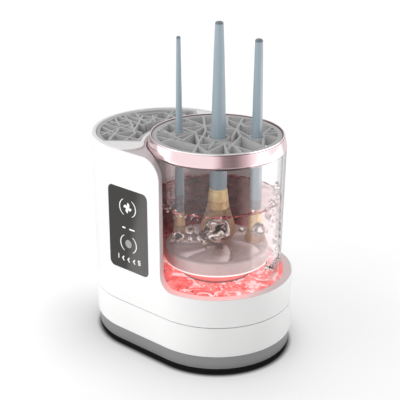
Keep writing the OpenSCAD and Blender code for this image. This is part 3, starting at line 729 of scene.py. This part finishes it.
def foam_look(name, scale, painted_reflections, cover):
    """Glassy water with painted reflections: light and dark glow from it in a marbled pattern, and it has
    painted dark rims at a glancing view.
    cover holds the least and the most that it hides of what is behind."""
    s = Shader(name)
    swirl = s.cloud(scale, 2.5, 0.5, distort=1.5)
    facing = s.add("ShaderNodeLayerWeight", Blend=0.5)
    steep = facing.outputs["Facing"]
    clear = s.add("ShaderNodeBsdfTransparent")
    s.join(s.ramp(swirl, (0.3, (0.60, 0.50, 0.48)), (0.6, (0.98, 0.95, 0.94))), clear.inputs["Color"])
    caught = s.add("ShaderNodeEmission", Strength=1.0)
    # painted dark rims at a glancing view, over painted reflections that glow
    rim = s.all_of(s.between(steep, 0.50, 0.80), s.between(s.cloud(scale * 0.7, 2), 0.38, 0.50, 0.35, 1.0))
    s.join(s.mix(rim, s.ramp(swirl, *painted_reflections), (0.03, 0.025, 0.025)), caught.inputs["Color"])
    body = s.add("ShaderNodeMixShader")
    s.join(s.between(s.cloud(scale * 0.6, 3, 0.6), 0.40, 0.56, *cover), body.inputs[0])
    s.join(clear.outputs[0], body.inputs[1])
    s.join(caught.outputs[0], body.inputs[2])
    gloss = s.add("ShaderNodeBsdfAnisotropic", Roughness=0.03)
    shine = s.add("ShaderNodeMixShader")
    s.join(s.between(steep, 0.1, 0.95, 0.04, 0.22), shine.inputs[0])
    s.join(body.outputs[0], shine.inputs[1])
    s.join(gloss.outputs[0], shine.inputs[2])
    s.join(shine.outputs[0], s.tree.nodes["Material Output"].inputs["Surface"])
    return s.material


# Painted reflections for the bubbles and the splashes: (position, colour) stops from dark to light.
BUBBLE_PAINTED_REFLECTIONS = (
    (0.40, (0.012, 0.01, 0.01)), (0.435, (0.13, 0.085, 0.08)), (0.48, (0.36, 0.28, 0.275)),
    (0.52, (0.46, 0.30, 0.17)), (0.55, (0.38, 0.32, 0.32)), (0.605, (0.55, 0.49, 0.48)),
    (0.62, (1.0, 0.98, 0.96)))
SPLASH_PAINTED_REFLECTIONS = (
    (0.47, (0.02, 0.012, 0.012)), (0.49, (0.45, 0.11, 0.11)), (0.525, (0.90, 0.50, 0.51)),
    (0.56, (1.0, 0.94, 0.94)))


def bubbles():
    """Bubbles in the wash, as (turn, distance from the axis, height, size)."""
    big = blob("bubble_big", cup_point(41, 33.2, 94.6), 8.3, 1, 0.2, 1.6, (1, 1, 0.97))
    side = blob("bubble_side", cup_point(27, 37.0, 90.4), 3.2, 2, 0.5, 1.4, (1, 1, 1.25))
    small = [
        (-1, 37.6, 87.6, 4.1), (14, 38.6, 95.4, 3.0), (15, 40.0, 89.4, 1.7), (87, 37.6, 92.0, 4.2),
        (64, 40.0, 96.2, 1.8), (31, 40.4, 84.6, 0.8), (45, 40.4, 85.0, 0.6)
    ]
    pieces = [big, side]
    for i, (turn, r, z, size) in enumerate(small):
        pieces.append(blob("bubble", cup_point(turn, r, z), size, 3 + i, 0.22, 1.6))
    look = foam_look("bubble_clear", 200, BUBBLE_PAINTED_REFLECTIONS, (0.7, 1.0))
    place(joined("wash_bubbles", pieces), "cup", "clear_cup", look)


def splashes():
    """Drops and broken foam thrown against the glass."""
    dice = random.Random(41)
    pieces = []
    beside = 84
    along_shore = 30
    for i in range(beside + along_shore):
        turn = dice.uniform(90, 152) if i < beside else dice.uniform(-60, 95)
        z = dice.uniform(58, 110) if i < beside else dice.uniform(103.5, 109)
        size = dice.uniform(0.4, 1.7) if i < beside else dice.uniform(0.25, 0.7)
        stretch = (1, 1, dice.uniform(0.5, 1.8))
        pieces.append(blob("drop", cup_point(turn, INNER_R - 0.3 - size, z), size, 20 + i, 0.9, 1.6, stretch))
    look = foam_look("splash_clear", 380, SPLASH_PAINTED_REFLECTIONS, (0.5, 1.0))
    place(joined("wash_splashes", pieces), "cup", "clear_cup", look)


def cup_glow():
    """A painted glow under the cup for the red light, broken into bright flecks and dark flecks by the moving
    water.
    """
    rings = 20
    middle = 8.5
    rim = FOOT_R - 0.4
    path = [(middle + (rim - middle) * j / rings, FLOOR_Z + 0.12) for j in range(rings + 1)]
    path += [(rim + 0.1, FLOOR_Z - 0.6), (rim + 0.1, GLASS_LOW + 0.3)]
    piece = lathe("cup_glow", path, (CUP_X, CUP_Y), 120, ring=False, sharp=None)
    s = Shader("cup_glow", Emission_Strength=0.8, Roughness=0.25)
    swirl = s.cloud(62, 5, 0.55, distort=1.4)
    fleck = s.cloud(135, 4, 0.6, distort=2.6)
    red = s.ramp(swirl, (0.34, (0.80, 0.09, 0.10)), (0.46, (0.98, 0.19, 0.18)), (0.62, (1.0, 0.32, 0.31)))
    broad = s.between(s.cloud(52, 3, 0.5, distort=2.2), 0.53, 0.63)
    lit = s.mix(s.math("MAXIMUM", broad, s.between(fleck, 0.57, 0.64)), red, (1.0, 0.82, 0.82))
    # painted shade: dark flecks in the glow
    deep = s.mix(s.between(fleck, 0.385, 0.345), lit, (0.16, 0.02, 0.03))
    s.join(deep, s.shader.inputs["Emission Color"])
    s.join(s.mix(0.5, deep, (0.1, 0.02, 0.02)), s.shader.inputs["Base Color"])
    s.bump(fleck, 0.5, 0.0008)
    place(piece, "cup", "light_diffuser", s.material)


def disc_petals():
    """Raised petals that wipe the brushes: each rises gently and falls off along a curved crest."""
    segments = 420
    rings = 40
    rim = PETAL_RIM
    base = DISC_TOP - 0.25
    verts = [(CUP_X, CUP_Y, base + 1.0)]
    for j in range(1, rings + 1):
        r = rim * j / rings
        hub = 1 - smoothstep((r - 2) / 7)
        swirl = PETAL_SWIRL * (r / rim) ** PETAL_BEND
        fade = smoothstep((r - 3) / 9) * smoothstep((rim - r) / 7)
        for i in range(segments):
            turn = math.tau * i / segments
            share = ((turn + swirl) * PETALS / math.tau) % 1.0
            saw = smoothstep(share / 0.86) if share < 0.86 else 1 - smoothstep((share - 0.86) / 0.14)
            z = base + 0.1 + 2.3 * saw * fade + hub
            verts.append((CUP_X + r * math.cos(turn), CUP_Y + r * math.sin(turn), z))
    piece = mesh_object("disc_petals", verts, round_sheet(rings, segments))
    place(piece, "disc", "disc_plastic", petal_white(), "disc_ribs")


# ---------- holder ring ----------

def holder_band():
    """The polished ring: a band that narrows to a lip with a painted highlight, and the spigot that stands in
    the cup. Painted shade lies in a small step under the lip, strongest on one side, and on the ring's inside
    face.
    """
    wall_r = 41.4
    foot_r = radius("holder_ring")
    spigot_z = low("holder_ring").z
    z0 = spigot_z + 2.6
    z1 = high("holder_ring").z
    profile = [(wall_r, spigot_z), (wall_r + 0.8, spigot_z), (wall_r + 0.8, z0)]
    profile += arc(foot_r - 0.5, z0 + 0.5, 0.5, -90, 0, 4)
    profile += [(foot_r - 0.02, z0 + 0.9), (RING_LIP_R + 0.06, z1 - 0.9), (RING_LIP_R - 0.12, z1 - 0.72)]
    profile += arc(RING_LIP_R - 0.4, z1 - 0.4, 0.38, 0, 90, 4)
    profile += [(43.5, z1 - 0.02), (43.25, z1 - 0.2), (42.75, z1 - 0.9), (42.7, z0 + 1.2), (wall_r, z0 + 1.2)]
    piece = lathe("holder_band", profile, plan("holder_ring"), 220, sharp=32)
    s = Shader("ring_rose", Metallic=1.0)
    lines = s.cloud(1, 4, 0.6, s.placed((30, 30, 9000)))
    rose = s.ramp(lines, (0.3, (0.93, 0.73, 0.755)), (0.7, (0.98, 0.79, 0.815)))
    z = s.axis("Z")
    across = s.axis("X", s.about_cup(VIEW_TURN))
    # painted highlight: the lip is almost white
    lip = s.between_mm(z, z1 - 0.66, z1 - 0.60)
    # painted shade in the small step under the lip, strongest on one side
    groove_shade = s.all_of(s.between_mm(z, z1 - 1.05, z1 - 0.95), s.between(lip, 0.5, 0.0),
                      s.between_mm(across, -16, 4, 0.25, 1.0))
    toned = s.mix(groove_shade, s.mix(lip, rose, (0.99, 0.94, 0.945)), (0.16, 0.11, 0.12))
    # painted shade on the ring's inside face
    inner_shade = s.between_mm(s.reach(), 43.4, 43.2)
    s.join(s.mix(inner_shade, toned, (0.17, 0.12, 0.13)), s.shader.inputs["Base Color"])
    s.join(s.between(lines, 0.3, 0.7, 0.10, 0.17), s.shader.inputs["Roughness"])
    place(piece, "holder", "ring_metal", s.material, "holder_ring")


# ---------- brushes ----------

# Profiles are [radius, height] points. The hair's run up from the tip to the ferrule's mouth.
BRUSHES = {
    "small": {
        "handle": [(2.9, 92.6), (3.2, 105), (2.4, 148), (1.95, 171), (1.45, 208), (1.35, 211.4)],
        "ferrule": [(3.6, 83), (3.1, 92.6)],
        "hair": [(3.9, 74), (4.7, 75.4), (4.5, 78), (3.5, 83)],
        "strands": 420,
    },
    "large": {
        "handle": [(5.8, 113.2), (5.9, 120), (4.95, 148), (4.3, 173), (3.55, 199), (2.9, 218),
                   (2.65, 222.6)],
        "ferrule": [(7.5, 99.8), (5.9, 113.2)],
        "hair": [(6.0, 74.6), (9.4, 77.5), (11.9, 82), (11.7, 86), (9.4, 93), (7.4, 99.8)],
        "strands": 2600,
    },
    "medium": {
        "handle": [(3.9, 98.7), (4, 112), (3.5, 148), (3.15, 173), (2.75, 199), (2.5, 211.4)],
        "ferrule": [(5, 84.3), (3.9, 98.7)],
        "hair": [(6.2, 74), (7.8, 75.5), (6.6, 79), (4.9, 84.3)],
        "strands": 900,
    },
}


def handle_paint(size, tip_z):
    """Gray-blue paint with a fine grain along the handle and a darker tip."""
    s = Shader(f"{size}_paint", Coat_Weight=0.35, Coat_Roughness=0.18)
    grain = s.cloud(1, 3, 0.5, s.placed((900, 900, 25)))
    paint = s.ramp(grain, (0.3, (0.290, 0.368, 0.418)), (0.7, (0.318, 0.398, 0.446)))
    tip = s.between_mm(s.axis("Z"), tip_z - 0.9, tip_z + 0.2)
    s.join(s.mix(tip, paint, (0.13, 0.16, 0.18)), s.shader.inputs["Base Color"])
    s.join(s.between(s.cloud(80, 3), 0.3, 0.7, 0.40, 0.50), s.shader.inputs["Roughness"])
    s.bump(grain, 0.05, 0.0001)
    return s.material


def ferrule_metal():
    """Satin pale gold, drawn lengthways."""
    s = Shader("ferrule_metal", Metallic=0.35)
    lines = s.cloud(1, 4, 0.6, s.placed((1500, 1500, 30)))
    s.join(s.ramp(lines, (0.3, (0.86, 0.66, 0.34)), (0.7, (0.93, 0.74, 0.42))), s.shader.inputs["Base Color"])
    s.join(s.between(lines, 0.3, 0.7, 0.34, 0.46), s.shader.inputs["Roughness"])
    s.bump(lines, 0.08, 0.0001)
    return s.material


def bristle_look(name, bottom, top):
    """Tan hair, darker towards its tips, with fine streaks."""
    s = Shader(name, Roughness=0.55, Specular_IOR_Level=0.25)
    along = s.ramp(s.between_mm(s.axis("Z"), bottom, top), (0.0, (0.62, 0.33, 0.19)),
                   (0.45, (0.76, 0.47, 0.28)), (0.8, (0.80, 0.60, 0.40)), (1.0, (0.70, 0.53, 0.34)))
    streak = s.cloud(1, 2, 0.5, s.placed((4000, 4000, 120)))
    streaked = s.mix(s.between(streak, 0.35, 0.7, 0.0, 0.55), along, (0.78, 0.60, 0.44))
    s.join(streaked, s.shader.inputs["Base Color"])
    s.bump(streak, 0.3, 0.0002)
    return s.material


def strand(verts, faces, dice, at, hair, mouth_z):
    """Adds one tapered hair, from inside the ferrule's mouth at mouth_z down to the tuft's domed tip."""
    steps = 7
    sides = 3
    tip_z = hair[0][1]
    start_z = mouth_z + 1.2
    widest = max(r for r, z in hair)
    rho = 1 - 0.9 * dice.random() ** 1.6 if dice.random() < 0.7 else math.sqrt(dice.random())
    turn = dice.uniform(0, math.tau)
    drift = dice.uniform(-0.10, 0.10)
    dome = (1 - math.sqrt(max(0.0, 1 - (rho * 0.92) ** 2))) * widest * 0.34
    end = tip_z + dome + dice.uniform(0, 1.6)
    thick = dice.uniform(0.10, 0.17)
    first = len(verts)
    for j in range(steps):
        share = j / (steps - 1)
        z = start_z + (end - start_z) * share
        r = rho * outline(hair, z) * (0.97 + 0.03 * dice.random())
        fat = thick * (1 - 0.72 * share ** 3)
        x = at[0] + r * math.cos(turn + drift * share)
        y = at[1] + r * math.sin(turn + drift * share)
        for k in range(sides):
            spin = turn + math.tau * k / sides
            verts.append((x + fat * math.cos(spin), y + fat * math.sin(spin), z))
    for j in range(steps - 1):
        a = first + j * sides
        for k in range(sides):
            m = (k + 1) % sides
            faces.append((a + k, a + m, a + sides + m, a + sides + k))
    last = first + (steps - 1) * sides
    faces.append((last, last + 1, last + 2))


def bristles(size, spec):
    """A tuft of fine hairs over a solid core."""
    dice = random.Random(size)
    hair = spec["hair"]
    at = plan(f"{size}_ferrule")
    mouth_z = hair[-1][1]
    tip_z = hair[0][1]
    verts = []
    faces = []
    for _ in range(spec["strands"]):
        strand(verts, faces, dice, at, hair, mouth_z)

    base = len(verts)
    sides = 40
    rows = 13
    core_low = tip_z + 2.2
    core_top = mouth_z + 1
    for i in range(sides):
        t = math.tau * i / sides
        for j in range(rows):
            z = core_low + (core_top - core_low) * j / (rows - 1)
            r = outline(hair, z) * 0.86
            verts.append((at[0] + r * math.cos(t), at[1] + r * math.sin(t), z))
    faces += skin(rows, sides, base)
    bottom = len(verts)
    verts.append((at[0], at[1], tip_z + 1.4))
    faces += [(bottom, base + (i + 1) % sides * rows, base + i * rows) for i in range(sides)]
    piece = mesh_object(f"{size}_bristles", verts, faces)
    look = bristle_look(f"{size}_bristle", tip_z, mouth_z)
    place(piece, f"{size}_brush", "bristle_tan", look, f"{size}_hair")


def stick(size, spec, at):
    """The painted handle: its foot inside the ferrule, its long taper and a domed tip."""
    handle = spec["handle"]
    foot_r, foot_z = handle[0]
    tip_r, tip_z = handle[-1]
    top = high(f"{size}_handle").z
    steps = 46
    dome_steps = 8
    profile = [(0.0, foot_z - 0.6), (foot_r - 0.35, foot_z - 0.6), (foot_r - 0.1, foot_z + 0.25)]
    for i in range(1, steps):
        z = foot_z + 0.6 + (tip_z - foot_z - 0.6) * i / (steps - 1)
        profile.append((outline(handle, z), z))
    for i in range(1, dome_steps):
        t = math.pi / 2 * i / dome_steps
        profile.append((tip_r * (0.35 + 0.65 * math.cos(t)), tip_z + (top - tip_z) * math.sin(t)))
    profile.append((0.0, top))
    piece = lathe(f"{size}_stick", profile, at, 48, ring=False, sharp=50)
    place(piece, f"{size}_brush", "handle_blue", handle_paint(size, tip_z), f"{size}_handle")


def collar(size, spec, at, gold):
    """The ferrule, with three crimped grooves round it."""
    (low_r, low_z), (high_r, high_z) = spec["ferrule"]
    tall = high_z - low_z
    profile = [(low_r - 0.5, low_z + 0.1), (low_r, low_z)]
    profile += [(low_r + (high_r - low_r) * 0.1, low_z + tall * 0.1)]
    for share in (0.30, 0.38, 0.86):
        r = low_r + (high_r - low_r) * share
        z = low_z + tall * share
        profile += [(r + 0.02, z - 0.35), (r - 0.14, z - 0.15), (r - 0.14, z + 0.15), (r + 0.02, z + 0.35)]
    profile += [(high_r + 0.02, high_z - 0.2), (high_r - 0.3, high_z + 0.05), (high_r - 0.6, high_z - 0.3)]
    piece = lathe(f"{size}_collar", profile, at, 64, ring=False, sharp=50)
    place(piece, f"{size}_brush", "ferrule_gold", gold, f"{size}_ferrule")


def brush(size, spec, gold):
    """One brush, on the axis of its ferrule."""
    at = plan(f"{size}_ferrule")
    stick(size, spec, at)
    collar(size, spec, at, gold)
    bristles(size, spec)


dress_cad()
cup_glass()
water_side()
water_surface()
shore()
bubbles()
splashes()
cup_glow()
disc_petals()
holder_band()
GOLD = ferrule_metal()
for size, spec in BRUSHES.items():
    brush(size, spec, GOLD)


# ---------- stage ----------

def from_base(s, shift=(0.0, 0.0)):
    """How far a point of the floor is from the base's middle line, once the base is moved by the shift."""
    x = s.math("SUBTRACT", s.axis("X"), shift[0] * MM)
    y = s.math("SUBTRACT", s.axis("Y"), shift[1] * MM)
    past_end = s.math("SUBTRACT", s.math("ABSOLUTE", x), (HALF_L - HALF_W) * MM)
    beyond = s.math("MAXIMUM", past_end, 0.0)
    return s.math("SQRT", s.math("ADD", s.math("MULTIPLY", beyond, beyond), s.math("MULTIPLY", y, y)))


def floor():
    """Pale paper, with painted shade close to the front, where the cleaner keeps the light off it, and an
    almost black painted shadow in the line where the base stands on it."""
    work = bmesh.new()
    bmesh.ops.create_grid(work, x_segments=8, y_segments=8, size=6)
    mesh = bpy.data.meshes.new("floor")
    work.to_mesh(mesh)
    work.free()
    piece = link("floor", mesh)
    s = Shader("floor_paper", Roughness=0.9, Specular_IOR_Level=0.1)
    paper = s.ramp(s.cloud(3), (0.3, (0.935, 0.935, 0.935)), (0.7, (0.945, 0.945, 0.945)))
    # painted shade close to the front
    near_shade = s.all_of(s.between_mm(from_base(s), HALF_W + 68, HALF_W + 2), s.between_mm(s.axis("Y"), 30, -50),
                    s.between_mm(s.axis("X"), 70, -60, 0.10, 0.24))
    # painted shadow, almost black, round the base's foot
    contact_shadow = s.between_mm(from_base(s, (3.6, -4.1)), HALF_W + 3.0, HALF_W - 2.2)
    shaded = s.mix(contact_shadow, s.mix(near_shade, paper, (0.0, 0.0, 0.0)), (0.01, 0.01, 0.01))
    s.join(shaded, s.shader.inputs["Base Color"])
    piece.data.materials.append(s.material)


def cards(name, rows, stops, warm=False):
    """A ring of cards about the cup that only glossy surfaces see. rows are [radius, height] points, and
    stops are (degrees of turn from the front, brightness). Warm cards are pinker where they are dark."""
    piece = lathe(name, rows, (CUP_X, CUP_Y), 180, ring=False)
    s = Shader(name)
    colours = []
    for turn, level in stops:
        pale = min(max((level - 0.7) / 0.25, 0.0), 1.0) if warm else 1.0
        colour = (level, level * (0.84 + 0.14 * pale), level * (0.865 + 0.12 * pale))
        colours.append(((turn + 180) / 360, colour))
    glow = s.add("ShaderNodeEmission")
    # turned so that the share runs from 0 to 1 with the turn, starting opposite the front
    s.join(s.ramp(s.around_cup(-math.pi / 2), *colours), glow.inputs["Color"])
    s.join(glow.outputs[0], s.tree.nodes["Material Output"].inputs["Surface"])
    piece.data.materials.append(s.material)
    piece.visible_camera = False
    piece.visible_diffuse = False
    piece.visible_transmission = False
    piece.visible_shadow = False
    piece.visible_volume_scatter = False


def reflections():
    """Cards on the floor for the upright walls, and a wall of cards for the holder ring's cone."""
    cards("floor_cards", [(150, 3), (900, 3)], [
        (-168, 0.8), (-110, 0.8), (-90, 0.7), (-45, 0.7), (-41.3, 0.7), (-40.7, 2.2), (-30, 2.2), (-24, 1.15),
        (34, 1.0), (42, 0.35), (74, 0.35), (84, 0.6), (97, 0.95), (98, 3.8), (160, 3.8), (170, 0.8)])
    cards("wall_cards", [(900, 3), (900, 1200)], [
        (-178, 0.9), (-115, 0.50), (-76, 0.60), (-69, 1.6), (-46, 1.6), (-34, 0.98), (34, 0.98), (43, 0.74),
        (50, 0.32), (66, 0.22), (73, 0.31), (80, 0.5), (87, 0.68), (94, 0.9), (101, 1.05), (109, 1.35),
        (128, 1.3), (136, 1.03), (178, 1.0)], warm=True)


def lamp(name, spot, aim, size, power):
    """A square area lamp at spot that points at aim."""
    data = bpy.data.lights.new(name, "AREA")
    data.shape = "RECTANGLE"
    data.size = size
    data.size_y = size
    data.energy = power
    light = bpy.data.objects.new(name, data)
    light.location = spot
    light.rotation_euler = (Vector(aim) - Vector(spot)).to_track_quat("-Z", "Y").to_euler()
    bpy.context.scene.collection.objects.link(light)


SKY = 1.07
SKY_DRIFT = 0.40
BRIGHT_SIDE = (-0.88, -0.475, 0)
LENS = 90.78
CAMERA_AT = (0.42891, -0.47906, 0.35344)
CAMERA_TILT = 68.2
CAMERA_TURN = 41.37


def world():
    """A plain white room, a little brighter towards the front left."""
    sky = bpy.data.worlds.new("studio")
    sky.use_nodes = True
    tree = sky.node_tree
    background = tree.nodes["Background"]
    background.inputs["Color"].default_value = (1, 1, 1, 1)
    way = tree.nodes.new("ShaderNodeTexCoord")
    toward = tree.nodes.new("ShaderNodeVectorMath")
    toward.operation = "DOT_PRODUCT"
    toward.inputs[1].default_value = BRIGHT_SIDE
    level = tree.nodes.new("ShaderNodeMath")
    level.operation = "MULTIPLY_ADD"
    level.inputs[1].default_value = SKY_DRIFT
    level.inputs[2].default_value = SKY
    tree.links.new(way.outputs["Generated"], toward.inputs[0])
    tree.links.new(toward.outputs["Value"], level.inputs[0])
    tree.links.new(level.outputs[0], background.inputs["Strength"])
    bpy.context.scene.world = sky


def camera():
    """A long lens, to the right of the front and above."""
    data = bpy.data.cameras.new("camera")
    data.lens = LENS
    data.sensor_width = 36
    data.clip_end = 30
    piece = bpy.data.objects.new("camera", data)
    piece.location = CAMERA_AT
    piece.rotation_euler = (math.radians(CAMERA_TILT), 0, math.radians(CAMERA_TURN))
    bpy.context.scene.collection.objects.link(piece)
    bpy.context.scene.camera = piece


floor()
reflections()
world()
camera()
lamp("key", (-1.04, -1.8, 1.25), (0, 0, 0.05), 1.2, 3)
bpy.context.scene.view_settings.view_transform = "Standard"
bpy.context.scene.cycles.transparent_max_bounces = 40
